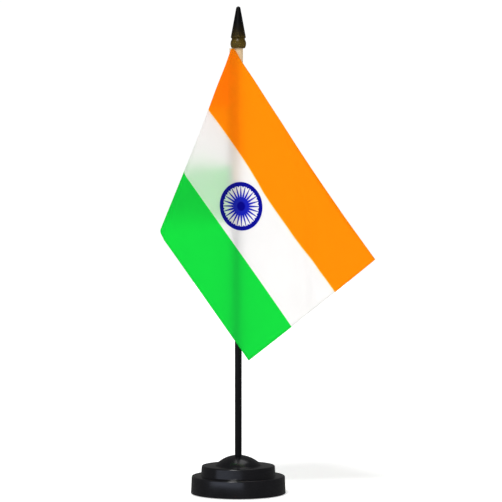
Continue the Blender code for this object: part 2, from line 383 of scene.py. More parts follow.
@dataclass(frozen=True)
class BronzedLacquer:
    """Gloss lacquer sprayed over bronze paint: black at the tip, fading to bronze gold at the collar."""

    bottom: float
    top: float
    name: str = "bronzed_gloss_lacquer"
    collar: str = "493A0A"
    middle: str = "1E1704"
    tip: str = "040405"
    speck: str = "B8952F"
    roughness: float = 0.25
    cloud_mm: float = 2.5
    speck_mm: float = 0.35

    def material(self) -> Material:
        """Build the lacquer: the fade follows the cap's height, and the bronze shows as fine specks."""
        material, tree, shader = new_material(self.name)
        place = add_node(tree, "ShaderNodeTexCoord").outputs["Object"]
        height = add_node(tree, "ShaderNodeSeparateXYZ", {"Vector": place}).outputs["Z"]
        spray = {"Vector": place, "Scale": 1 / (self.cloud_mm * MM), "Detail": 3.0}
        cloud = add_node(tree, "ShaderNodeTexNoise", spray)
        drift = self.cloud_mm * MM  # the noise moves the fade by this much up or down
        swayed = {0: cloud, 1: 2 * drift, 2: height}
        sway = add_node(tree, "ShaderNodeMath", swayed, operation="MULTIPLY_ADD")
        share = add_node(
            tree,
            "ShaderNodeMapRange",
            {"Value": sway, "From Min": self.bottom + drift, "From Max": self.top + drift},
        )
        fade = add_node(tree, "ShaderNodeValToRGB", {"Fac": share})
        ramp = fade.color_ramp.elements
        ramp[0].position, ramp[0].color = 0.1, linear(self.collar)
        ramp[1].position, ramp[1].color = 0.62, linear(self.tip)
        ramp.new(0.34).color = linear(self.middle)
        fine = {"Vector": place, "Scale": 1 / (self.speck_mm * MM), "Detail": 1.0}
        grains = add_node(tree, "ShaderNodeTexNoise", fine)
        cut = {"Value": grains, "From Min": 0.62, "From Max": 0.72}
        shown = add_node(tree, "ShaderNodeMapRange", cut)
        thinned = {"Value": share, "From Min": 0.45, "From Max": 0.1, "To Max": 0.7}
        low = add_node(tree, "ShaderNodeMapRange", thinned)
        specks = add_node(tree, "ShaderNodeMath", {0: shown, 1: low}, operation="MULTIPLY")
        layered = {"Factor": specks, "A": fade, "B": linear(self.speck)}
        colour = add_node(tree, "ShaderNodeMix", layered, data_type="RGBA")
        raised = {"Height": grains, "Strength": 0.15, "Distance": 0.02 * MM}
        bump = add_node(tree, "ShaderNodeBump", raised)
        finish = {
            "Base Color": colour,
            "Normal": bump,
            "Metallic": 0.2,
            "Specular IOR Level": 0.2,
            "Roughness": self.roughness + 0.15,
            "Coat Weight": 0.22,
            "Coat Roughness": self.roughness,
        }
        fill(tree, shader, finish)
        return material


@dataclass(frozen=True)
class WovenTape:
    """Plain-woven cotton tape: cream, matt, with crossing threads; the crossings are painted lighter in
    dots as a painted highlight, and the gaps between them darker as painted shade.
    """

    width_mm: float
    length_mm: float
    name: str = "cream_woven_tape"
    colour: str = "DEC6A2"
    # painted shade: the tone of the gaps between the threads
    shade: str = "BFA47C"
    thread_mm: float = 0.55  # real threads are 0.3 mm apart, which is too fine to show

    def material(self) -> Material:
        """Build the tape: two crossed rows of threads, on the piece's own UV in real millimetres."""
        material, tree, shader = new_material(self.name)
        flat = add_node(tree, "ShaderNodeTexCoord").outputs["UV"]
        size = (self.width_mm, self.length_mm, 1.0)
        real = add_node(tree, "ShaderNodeMapping", {"Vector": flat, "Scale": size})
        threads = {
            "Vector": real,
            "Scale": WAVE_REPEAT / self.thread_mm,
            "Distortion": 0.6,
            "Detail": 1.0,
        }
        warp, weft = (
            add_node(tree, "ShaderNodeTexWave", threads, bands_direction=way).outputs["Fac"]
            for way in ("X", "Y")
        )
        # the crossed rows raise the bump and paint the light: lighter where they cross, painted shade
        # between them
        weave_and_painted_light = add_node(tree, "ShaderNodeMath", {0: warp, 1: weft}, operation="MULTIPLY")
        rest = {"Roughness": 0.85, "Sheen Weight": 0.2}
        two_toned(tree, shader, (self.shade, self.colour), weave_and_painted_light, (weave_and_painted_light, 0.5, 0.08), rest)
        return material


@dataclass(frozen=True)
class PrintedSatin:
    """Thin polyester satin printed right through: smooth, a soft sheen, and light shows through it."""

    fly_mm: float
    hoist_mm: float
    name: str = "printed_polyester_satin"
    wheel_share: float = 0.855  # of the middle stripe's height
    wheel_shift_mm: Point = (0.4, 0.5)
    spokes: int = 24
    spoke_taper: float = 0.075  # half a spoke's width at the hub, as a share of the wheel's radius
    rim_inside: float = 0.83  # where the rim starts, as such a share
    bead: float = 0.05  # how far each bead reaches in from the rim
    squeeze: float = 0.925  # the wheel is printed this much narrower one way
    squeeze_turn: float = math.radians(68)
    seam_mm: float = 0.35
    thread_mm: float = 0.5  # real threads are 0.1 mm apart, which is too fine to show
    mottle_mm: float = 18.0  # the size of the faint clouds in the dye
    through: float = 0.76  # the share of the light that passes on to the other side
    wander_mm: Point = (-1.0, 2.0)  # what 0 and 1 of the wander stand for
    wander: tuple[Point, ...] = (
        (0.0, 0.93),
        (0.3, 0.93),
        (0.46, 0.56),
        (0.58, 0.16),
        (0.7, 0.2),
        (0.85, 0.46),
        (1.0, 0.75),
    )

    def material(self) -> Material:
        """Build the cloth: the print is drawn on the flat cloth's UV, in real millimetres."""
        material, tree, shader = new_material(self.name)
        flat = add_node(tree, "ShaderNodeTexCoord").outputs["UV"]
        size = (self.fly_mm, self.hoist_mm, 1.0)
        real = add_node(tree, "ShaderNodeMapping", {"Vector": flat, "Scale": size})
        cloudy = {"Vector": real, "Scale": 1 / self.mottle_mm, "Detail": 3.0}
        mottle = add_node(tree, "ShaderNodeTexNoise", cloudy)
        value = add_node(tree, "ShaderNodeMapRange", {"Value": mottle, "To Min": 0.965})
        colour = add_node(
            tree,
            "ShaderNodeMix",
            {"Factor": 1.0, "A": self.print_colour(tree, flat), "B": value},
            data_type="RGBA",
            blend_type="MULTIPLY",
        )
        threads = {
            "Vector": real,
            "Scale": WAVE_REPEAT / self.thread_mm,
            "Distortion": 1.5,
            "Detail": 2.0,
            "Detail Scale": 0.4,
        }
        warp = add_node(tree, "ShaderNodeTexWave", threads, bands_direction="Y").outputs["Fac"]
        raised = {"Height": warp, "Strength": 0.12, "Distance": 0.03 * MM}
        bump = add_node(tree, "ShaderNodeBump", raised)
        finish = {"Base Color": colour, "Normal": bump, "Roughness": 0.5, "Specular IOR Level": 0.12}
        fill(tree, shader, finish)
        glow = add_node(tree, "ShaderNodeBsdfTranslucent", {"Color": colour})
        both = add_node(tree, "ShaderNodeMixShader", {0: self.through, 1: shader, 2: glow})
        fill(tree, tree.nodes["Material Output"], {"Surface": both})
        return material

    def print_colour(self, tree: Tree, flat: Socket) -> Node:
        """Draw the three stripes, and the wheel over them.

        Args:
            tree: The material's node tree.
            flat: The flat cloth's UV, from 0 to 1 each way.

        Returns:
            The node that gives the print's colour.
        """
        stripes = add_node(tree, "ShaderNodeValToRGB", {"Fac": self.print_height(tree, flat)})
        stripes.color_ramp.interpolation = "CONSTANT"
        ramp = stripes.color_ramp.elements
        ramp.remove(ramp[1])
        ramp[0].position, ramp[0].color = 0.0, linear(Dye.BOTTOM_STRIPE.value)
        marks = (
            (1 / 3, Dye.MIDDLE_STRIPE),
            (2 / 3 - self.seam_mm / self.hoist_mm, Dye.SEAM_LINE),
            (2 / 3, Dye.TOP_STRIPE),
        )
        for position, dye in marks:
            ramp.new(position).color = linear(dye.value)
        out, shown = self.wheel(tree, flat)
        tints = add_node(tree, "ShaderNodeValToRGB", {"Fac": out})
        tones = tints.color_ramp.elements
        tones[0].position, tones[0].color = 0.16, linear(Dye.WHEEL_HEART.value)
        tones[1].position, tones[1].color = 0.8, linear(Dye.WHEEL_RIM.value)
        for position in (0.22, 0.5):
            tones.new(position).color = linear(Dye.WHEEL_HUB.value)
        mix = {"Factor": shown, "A": stripes, "B": tints}
        return add_node(tree, "ShaderNodeMix", mix, data_type="RGBA")

    def print_height(self, tree: Tree, flat: Socket) -> Node:
        """Let the upper stripe's edge wander, as a print on loosely held cloth does.

        Args:
            tree: The material's node tree.
            flat: The flat cloth's UV.

        Returns:
            The node that gives the height up the print, from 0 to 1.
        """
        place = add_node(tree, "ShaderNodeSeparateXYZ", {"Vector": flat}).outputs
        curve = add_node(tree, "ShaderNodeFloatCurve", {"Value": place["X"]})
        points = curve.mapping.curves[0].points
        points[0].location = self.wander[0]
        points[1].location = self.wander[-1]
        for point in self.wander[1:-1]:
            points.new(*point)
        curve.mapping.update()
        low, high = (value / self.hoist_mm for value in self.wander_mm)
        rise = add_node(tree, "ShaderNodeMapRange", {"Value": curve, "To Min": low, "To Max": high})
        upper_only = {"Value": place["Y"], "From Min": 0.45, "From Max": 0.6, "To Max": -1.0}
        upper = add_node(tree, "ShaderNodeMapRange", upper_only)
        moved = {0: rise, 1: upper, 2: place["Y"]}
        return add_node(tree, "ShaderNodeMath", moved, operation="MULTIPLY_ADD")

    def wheel(self, tree: Tree, flat: Socket) -> tuple[Socket, Node]:
        """Draw the spoked wheel: tapered spokes that meet in a hub, and a rim beaded between spokes.

        Args:
            tree: The material's node tree.
            flat: The flat cloth's UV.

        Returns:
            What gives the distance from the wheel's centre as a share of its radius, and what
            gives the share of ink.
        """
        radius = self.hoist_mm / 3 * self.wheel_share / 2
        sides = (self.fly_mm, self.hoist_mm)
        middle = [-(side / 2 + shift) / radius for side, shift in zip(sides, self.wheel_shift_mm)]
        scale = (self.fly_mm / radius, self.hoist_mm / radius, 1.0)
        centred = {"Vector": flat, "Location": (*middle, 0.0), "Scale": scale}
        turned = {
            "Vector": add_node(tree, "ShaderNodeMapping", centred),
            "Rotation": (0.0, 0.0, -self.squeeze_turn),
        }
        widened = {
            "Vector": add_node(tree, "ShaderNodeMapping", turned),
            "Scale": (1 / self.squeeze, 1.0, 1.0),
        }
        round_again = add_node(tree, "ShaderNodeMapping", widened)

        def sum_of(operation: str, first: Any, second: Any) -> Node:
            """Work one sum of two numbers, sockets or nodes."""
            return add_node(tree, "ShaderNodeMath", {0: first, 1: second}, operation=operation)

        length = add_node(tree, "ShaderNodeVectorMath", {0: round_again}, operation="LENGTH")
        out = length.outputs["Value"]
        gradient = {"Vector": round_again}
        turn = add_node(tree, "ShaderNodeTexGradient", gradient, gradient_type="RADIAL").outputs["Fac"]
        beside = sum_of("PINGPONG", sum_of("MULTIPLY", turn, float(self.spokes)), 0.5)
        away = sum_of("MULTIPLY", sum_of("MULTIPLY", beside, 2 * math.pi / self.spokes), out)
        taper = sum_of("MULTIPLY", sum_of("SUBTRACT", 1.0, out), self.spoke_taper)
        spoke = sum_of("LESS_THAN", away, taper)
        beaded = {
            "Value": beside,
            "From Min": 0.3,
            "From Max": 0.5,
            "To Min": self.rim_inside,
            "To Max": self.rim_inside - self.bead,
        }
        rim = sum_of("GREATER_THAN", out, add_node(tree, "ShaderNodeMapRange", beaded))
        ink = sum_of("MAXIMUM", spoke, rim)
        return out, sum_of("MULTIPLY", ink, sum_of("LESS_THAN", out, 1.0))


@dataclass(frozen=True)
class PressedFelt:
    """Pressed wool felt: matt, dark green, with matted fibres that give a cloudy, pitted face."""

    name: str = "pressed_wool_felt"
    colour: str = "1E2F25"
    light: str = "35493D"
    fibre_mm: float = 0.4

    def material(self) -> Material:
        """Build the felt: fibres as a stirred noise."""
        material, tree, shader = new_material(self.name)
        place = add_node(tree, "ShaderNodeTexCoord").outputs["Object"]
        matted = {"Vector": place, "Scale": 1 / (self.fibre_mm * MM), "Detail": 6.0, "Distortion": 1.5}
        fibres = add_node(tree, "ShaderNodeTexNoise", matted)
        rest = {"Roughness": 0.95, "Sheen Weight": 0.3}
        two_toned(tree, shader, (self.colour, self.light), fibres, (fibres, 0.7, 0.1), rest)
        return material


@dataclass(frozen=True)
class SandCastIron:
    """Bare grey iron from a sand mould: dull metal with the mould's grit in its skin."""

    name: str = "sand_cast_grey_iron"
    colour: str = "5A5B5D"
    dark: str = "3A3A3C"
    grit_mm: float = 0.7

    def material(self) -> Material:
        """Build the iron: pits as a cell pattern, with darker hollows."""
        material, tree, shader = new_material(self.name)
        place = add_node(tree, "ShaderNodeTexCoord").outputs["Object"]
        cells = {"Vector": place, "Scale": 1 / (self.grit_mm * MM), "Randomness": 1.0}
        grit = add_node(tree, "ShaderNodeTexVoronoi", cells)
        rest = {"Metallic": 1.0, "Roughness": 0.6}
        two_toned(tree, shader, (self.dark, self.colour), grit, (grit, 0.6, 0.1), rest)
        return material


@dataclass(frozen=True)
class TwistedThread:
    """Spun polyester sewing thread: off-white, two plies twisted, so each stitch has slanting ridges, with
    painted shade in the grooves between them.
    """

    name: str = "twisted_polyester_thread"
    colour: str = "F2ECDF"
    # painted shade: the tone of the grooves between the plies
    groove: str = "B9AE98"
    twist_mm: float = 0.5

    def material(self) -> Material:
        """Build the thread: slanted bands for the plies, painted darker in their grooves as painted shade.
        """
        material, tree, shader = new_material(self.name)
        place = add_node(tree, "ShaderNodeTexCoord").outputs["Object"]
        bands = {"Vector": place, "Scale": WAVE_REPEAT / (self.twist_mm * MM)}
        wave = add_node(tree, "ShaderNodeTexWave", bands, bands_direction="DIAGONAL")
        plies = wave.outputs["Fac"]
        rest = {"Roughness": 0.6}
        two_toned(tree, shader, (self.groove, self.colour), plies, (plies, 0.5, 0.05), rest)
        return material


# Sub-assemblies


@dataclass
class Foot:
    """The weighted foot: the two-tier moulding with its dome, and the felt it stands on."""

    rim_width: float = 0.7 * MM
    edge_width: float = 0.25 * MM
    tier_draft: float = 0.4 * MM
    wall: float = 1.8 * MM
    dome_diameter: float = 28.0 * MM
    dome_rise: float = 6.2 * MM
    cad_dome_rise: float = 5.8 * MM
    upper_diameter: float = 44.4 * MM
    upper_rise: float = 6.1 * MM
    socket_depth: float = 17.0 * MM
    socket_floor: float = 1.2 * MM
    fit_gap: float = 0.3 * MM
    boss_wall: float = 2.2 * MM
    cover_ledge: float = 1.0 * MM

    def build(self) -> None:
        """Make every piece of the foot, and give the hidden ones their finish."""
        moulding = self.moulding()
        dress(moulding, MouldedPlastic().material())
        carry(moulding, "foot", "black_moulding", "base_shell")
        pad = plain_round("felt_pad", "base_pad", self.edge_width)
        dress(pad, PressedFelt().material())
        carry(pad, "foot", "pad_felt", "base_pad")
        cover = MouldedPlastic(name="moulded_matt_cover", roughness=0.5, peel_mm=0.8)
        dress(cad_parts["bottom_cover"], cover.material())
        dress(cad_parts["ballast_ring"], SandCastIron().material())

    def moulding(self) -> Object:
        """Turn the shell, from the socket's floor over the dome and both tiers to the inner boss.

        Returns:
            The moulding.
        """
        low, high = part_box("base_shell")
        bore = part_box("pole")[1].x + self.fit_gap
        cover_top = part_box("bottom_cover")[1].z
        base = high.x
        upper = self.upper_diameter / 2
        dome = self.dome_diameter / 2
        upper_top = high.z + self.bore_drop(bore) - self.cad_dome_rise
        dome_top = upper_top + self.dome_rise
        lower_top = upper_top - self.upper_rise
        boss = bore + self.boss_wall
        socket = upper_top + self.cad_dome_rise - self.socket_depth
        rebate = base - self.tier_draft - self.cover_ledge
        inner = rebate - self.cover_ledge
        step = cover_top + self.fit_gap
        roof = upper - self.tier_draft - self.wall
        radius = (dome**2 + self.dome_rise**2) / (2 * self.dome_rise)
        first = 90 - math.degrees(math.asin(bore / radius))
        last = 90 - math.degrees(math.asin(dome / radius))
        outline = [(0.0, socket), (bore, socket)]
        outline += arc((0.0, dome_top - radius), radius, first, last, 20)
        outline += [
            (upper - self.tier_draft, upper_top),
            (upper, lower_top),
            (base - self.tier_draft, lower_top),
            (base, low.z),
            (rebate, low.z),
            (rebate, step),
            (inner, step),
            (inner, lower_top - self.wall),
            (roof, lower_top - self.wall),
            (roof, upper_top - self.wall),
            (boss, upper_top - self.wall),
            (boss, socket - self.socket_floor),
            (0.0, socket - self.socket_floor),
        ]
        rims = [
            (upper - self.tier_draft, upper_top, self.rim_width),
            (base - self.tier_draft, lower_top, self.rim_width),
            (base, low.z, self.edge_width),
            (upper, lower_top, self.edge_width),
            (dome, upper_top, self.edge_width),
        ]
        return TurnedPiece("foot_moulding", outline, rims).make()

    def bore_drop(self, bore: float) -> float:
        """How far the edge of the CAD dome's bore lies under the dome's full height.

        Args:
            bore: The bore's radius.

        Returns:
            The drop.
        """
        dome = self.dome_diameter / 2
        radius = (dome**2 + self.cad_dome_rise**2) / (2 * self.cad_dome_rise)
        return radius - math.sqrt(radius**2 - bore**2)


@dataclass
class Staff:
    """The coated rod."""

    chamfer: float = 0.4 * MM
    steps: int = 64

    def build(self) -> None:
        """Make the rod and hang it on its body."""
        rod = plain_round("pole_rod", "pole", self.chamfer, self.steps)
        dress(rod, CoatedRod().material())
        carry(rod, "staff", "pole_paint", "pole")


@dataclass
class SpearCap:
    """The spear-shaped cap: a long cone, a rolled ridge, a groove and a barrel collar."""

    collar_height: float = 5.0 * MM
    groove_height: float = 0.8 * MM
    groove_radius: float = 3.85 * MM
    ridge_radius: float = 4.45 * MM
    ridge_height: float = 1.4 * MM
    collar_radius: float = 4.65 * MM
    collar_end: float = 3.95 * MM
    tip_radius: float = 1.35 * MM
    bore_depth: float = 12.0 * MM
    fit_gap: float = 0.3 * MM
    lean: float = 8.0  # degrees from upright of the cone's side
    steps: int = 96

    def build(self) -> None:
        """Make the cap and hang it on its body."""
        low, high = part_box("finial")
        cap = TurnedPiece("spear_cap", self.outline(low.z, high.z), steps=self.steps).make()
        dress(cap, BronzedLacquer(bottom=low.z, top=high.z).material())
        carry(cap, "cap", "finial_lacquer", "finial")

    def outline(self, bottom: float, top: float) -> list[Point]:
        """The cap's outline, from its tip down its outer side and up its bore.

        Args:
            bottom: The height of the cap's underside.
            top: The height of its tip.

        Returns:
            The outline's points.
        """
        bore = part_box("pole")[1].x + self.fit_gap
        groove_bottom = bottom + self.collar_height
        groove_top = groove_bottom + self.groove_height
        ridge = self.ridge_height / 2
        half = self.collar_height / 2
        bulge = self.collar_radius - self.collar_end
        barrel = (half**2 + bulge**2) / (2 * bulge)
        spread = math.degrees(math.asin(half / barrel))
        middle = (self.collar_radius - barrel, bottom + half)
        groove = (self.groove_radius + ridge / 2, (groove_top + groove_bottom) / 2)
        points = [(0.0, top)]
        points += arc((0.0, top - self.tip_radius), self.tip_radius, 80, self.lean, 8)
        points += arc((self.ridge_radius - ridge, groove_top + ridge), ridge, self.lean, -80, 8)
        points += arc(groove, ridge / 2, 120, 240, 6)
        points += arc(middle, barrel, spread, -spread, 14)
        points += [(bore, bottom), (bore, bottom + self.bore_depth), (0.0, bottom + self.bore_depth)]
        return points


@dataclass
class Fold:
    """How the flat cloth lies: a back panel, a roll and a front panel that crosses the pole.

    A flat point is its distance out from the hoist edge and down from the top edge. The roll is a cone
    whose point lies above the cloth, and both panels touch it, so the cloth bends and never stretches.
    """

    fly: float = 152.4 * MM
    hoist: float = 101.6 * MM
    heading: float = math.radians(19.2)
    bend: float = math.radians(124.0)
    tilt: float = math.radians(21.7)
    opening: float = math.radians(15.9)
    headroom: float = 8.8 * MM
    hoist_reach: float = 1.9 * MM
    sleeve_above: float = 2.2 * MM
    front_gap: float = 0.55 * MM
    # the blunt corner under the cap
    blunt_rise: float = 1.5 * MM
    blunt_right: float = 2.0 * MM
    blunt_reach: float = 22.0 * MM
    # the fuller edge beside it
    slack: float = 1.2 * MM
    slack_below: float = 20.0 * MM
    slack_reach: float = 18.0 * MM
    # the very tip, which rides up on the sleeve
    tip_left: float = 1.0 * MM
    tip_below: float = 1.5 * MM
    tip_rise: float = 2.6 * MM
    tip_reach: float = 7.0 * MM
    tip_limit: float = 2.0 * MM
    # the free top edge, which sags into the cloth
    sag: float = 0.8 * MM
    sag_from: float = 20.0 * MM
    sag_over: float = 60.0 * MM
    sag_depth: float = 24.0 * MM
    corner_from: float = 125.0 * MM
    corner_over: float = 27.0 * MM
    corner_hold: float = 0.6
    # how far off the pole the cloth is free to move
    pole_hold: float = 8.0 * MM
    pole_fade: float = 30.0 * MM

    def __post_init__(self) -> None:
        """Work out the two panels and the cone that both of them touch."""
        sleeve_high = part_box("hoist_sleeve")[1]
        self.sleeve_radius = sleeve_high.x
        self.top = sleeve_high.z - self.sleeve_above
        back = self.heading + self.opening
        clear = self.sleeve_radius + self.front_gap
        self.front_way = Vector((math.cos(self.heading), -math.sin(self.heading)))
        self.back_way = Vector((math.cos(back), -math.sin(back)))
        self.back_normal = Vector((-math.sin(back), -math.cos(back)))
        self.front_foot = Vector((-math.sin(self.heading), -math.cos(self.heading))) * clear
        self.past_foot = (clear * math.cos(self.opening) - self.sleeve_radius) / math.sin(self.opening)
        self.point = self.front_foot + self.front_way * self.past_foot
        self.hoist_gap = self.point.dot(self.back_way) + self.hoist_reach
        self.point_height = self.top + self.headroom
        middle = self.heading + self.opening / 2
        sine = math.sin(self.tilt)
        self.axis = Vector((-math.cos(middle) * sine, math.sin(middle) * sine, -math.cos(self.tilt)))
        down = Vector((0, 0, -1))
        self.low_side = (down - self.axis * down.dot(self.axis)).normalized()
        self.back_side = self.axis.cross(self.low_side)
        if self.back_side.y < 0:
            self.back_side.negate()
        self.cone = math.asin(sine * math.sin(self.opening / 2))
        self.roll_start = math.acos(math.cos(self.tilt) / math.cos(self.cone))
        self.touch = math.acos(math.tan(self.cone) / math.tan(self.tilt))
        self.roll_end = self.roll_start + (2 * math.pi - 2 * self.touch) * math.sin(self.cone)

    def placed(self, ray: float, reach: float) -> Vector:
        """Where a point of the cloth hangs.

        Args:
            ray: Its direction from the cone's point on the flat cloth, from straight down.
            reach: Its distance from the cone's point.

        Returns:
            The point's place.
        """
        if ray <= self.roll_start:
            spot = self.point - self.back_way * reach * math.sin(ray)
            return Vector((spot.x, spot.y, self.point_height - reach * math.cos(ray)))
        if ray < self.roll_end:
            turn = (ray - self.roll_start) / math.sin(self.cone) + self.touch
            around = self.low_side * math.cos(turn) + self.back_side * math.sin(turn)
            way = self.axis * math.cos(self.cone) + around * math.sin(self.cone)
            return Vector((self.point.x, self.point.y, self.point_height)) + way * reach
        swing = ray - self.roll_end - self.roll_start
        along = self.past_foot + reach * math.sin(swing)
        height = self.point_height - reach * math.cos(swing)
        if along <= 0:
            spot = self.front_foot + self.front_way * along
            return Vector((spot.x, spot.y, height))
        heading = self.heading + self.bend * along
        across = (math.sin(heading) - math.sin(self.heading)) / self.bend
        ahead = (math.cos(heading) - math.cos(self.heading)) / self.bend
        return Vector((self.front_foot.x + across, self.front_foot.y + ahead, height))

    def settling(self, ray: float, out: float, down: float, spot: Vector) -> Vector:
        """How the cloth gives under its own weight, off the even fold.

        The corner under the cap is blunt and rides up, and the free top edge sags into the cloth.

        Args:
            ray: The point's direction from the cone's point.
            out: Its distance out from the hoist edge.
            down: Its distance down from the top edge.
            spot: Its place on the even fold.

        Returns:
            How far it moves.
        """
        past_roll = smooth((ray - self.roll_start) / (self.roll_end - self.roll_start))
        way = Vector((self.front_way.x, self.front_way.y, 0.0))
        below = self.top - spot.z
        near = math.exp(-((max(below, 0.0) / self.blunt_reach) ** 2))
        side = smooth((ray - self.roll_start) / (math.radians(90) - self.roll_start)) * 2 - 1
        blunt = way * (self.blunt_right * max(side, 0.0)) + Vector((0, 0, self.blunt_rise))
        slack = math.exp(-(((below - self.slack_below) / self.slack_reach) ** 2))
        fuller = way * (self.slack * min(side, 0.0) * slack)
        off_tip = math.hypot(spot.x + self.tip_left, spot.z - self.top + self.tip_below)
        tip = Vector((0, 0, self.tip_rise * math.exp(-((off_tip / self.tip_reach) ** 2))))
        turn = self.roll_start + self.roll_end
        inward = -way * math.sin(turn) - Vector((0, 0, math.cos(turn)))
        corner = self.corner_hold * smooth((out - self.corner_from) / self.corner_over)
        free = smooth((out - self.sag_from) / self.sag_over) * (1 - corner)
        sag = inward * (self.sag * free * math.exp(-down / self.sag_depth))
        moved = (blunt * near + fuller + tip + sag) * past_roll
        moved.z = min(moved.z, self.top + self.tip_limit - spot.z)
        return moved

    def rays(self, back_steps: int, roll_steps: int, front_steps: int) -> list[float]:
        """The rays that the cloth is meshed along, from the hoist's foot to the fly's top.

        Args:
            back_steps: How many on the back panel.
            roll_steps: How many round the roll.
            front_steps: How many on the front panel.

        Returns:
            Their angles, with one through each of the cloth's corners.
        """
        first = math.atan2(self.hoist_gap, self.headroom + self.hoist)
        last = math.atan2(self.hoist_gap + self.fly, self.headroom)
        angles = [first]
        for start, end, steps in (
            (first, self.roll_start, back_steps),
            (self.roll_start, self.roll_end, roll_steps),
            (self.roll_end, last, front_steps),
        ):
            angles += [start + (end - start) * step / steps for step in range(1, steps + 1)]
        for corner in (
            math.atan2(self.hoist_gap, self.headroom),
            math.atan2(self.hoist_gap + self.fly, self.headroom + self.hoist),
        ):
            nearest = min(range(1, len(angles) - 1), key=lambda index: abs(angles[index] - corner))
            angles[nearest] = corner
        return angles

    def freedom(self, out: float, down: float) -> float:
        """How free a flat point of the cloth is to move.

        Args:
            out: Its distance out from the hoist edge.
            down: Its distance down from the top edge.

        Returns:
            0 where it's sewn or lies on the pole, and up to 1 away from them.
        """
        ray = math.atan2(self.hoist_gap + out, self.headroom + down)
        if ray <= self.roll_start:
            return 0.0
        reach = math.hypot(self.hoist_gap + out, self.headroom + down)
        swing = ray - self.roll_end - self.roll_start
        along = self.past_foot + reach * math.sin(swing)
        clear = smooth((abs(along) - self.pole_hold) / self.pole_fade)
        return clear * smooth((ray - self.roll_start) / (self.roll_end - self.roll_start))

    def span(self, ray: float) -> tuple[float, float]:
        """Where a ray enters the cloth and where it leaves it.

        Args:
            ray: Its direction from the cone's point.

        Returns:
            The two distances from the cone's point.
        """
        sine = max(math.sin(ray), 1e-9)
        cosine = max(math.cos(ray), 1e-9)
        near = max(self.hoist_gap / sine, self.headroom / cosine)
        far = min((self.hoist_gap + self.fly) / sine, (self.headroom + self.hoist) / cosine)
        return near, max(near, far)


def cloth_grid(
    name: str, columns: int, rows: int, place: Callable[[int, float], tuple[Vector, Point]]
) -> Object:
    """Lay a grid of faces along a cloth, with its flat place as its UV map.

    Args:
        name: The piece's name.
        columns: How many lines of points run across.
        rows: How many points each has.
        place: From a column's number and a share along it, the point's place and its UV.

    Returns:
        The open sheet.
    """
    deselect_all()
    bpy.ops.mesh.primitive_grid_add(x_subdivisions=columns - 1, y_subdivisions=rows - 1, size=2)
    obj = bpy.context.object
    obj.name = obj.data.name = name
    flat: list[Point] = []
    for vertex in obj.data.vertices:
        column = round((vertex.co.x + 1) / 2 * (columns - 1))
        where, uv = place(column, (vertex.co.y + 1) / 2)
        vertex.co = where
        flat.append(uv)
    layer = obj.data.uv_layers.active or obj.data.uv_layers.new(name="flat")
    for loop in obj.data.loops:
        layer.data[loop.index].uv = flat[loop.vertex_index]
    bpy.ops.object.mode_set(mode="EDIT")
    bpy.ops.mesh.select_all(action="SELECT")
    bpy.ops.mesh.remove_doubles(threshold=SAME)
    bpy.ops.object.mode_set(mode="OBJECT")
    bpy.ops.object.shade_smooth()
    return obj


def thicken(obj: Object, thickness: float) -> None:
    """Give an open sheet its thickness, half to each side.

    Args:
        obj: The sheet.
        thickness: How thick it gets.
    """
    wall = obj.modifiers.new("thickness", "SOLIDIFY")
    wall.thickness = thickness
    wall.offset = 0.0
    wall.use_even_offset = True
    apply_modifiers(obj)


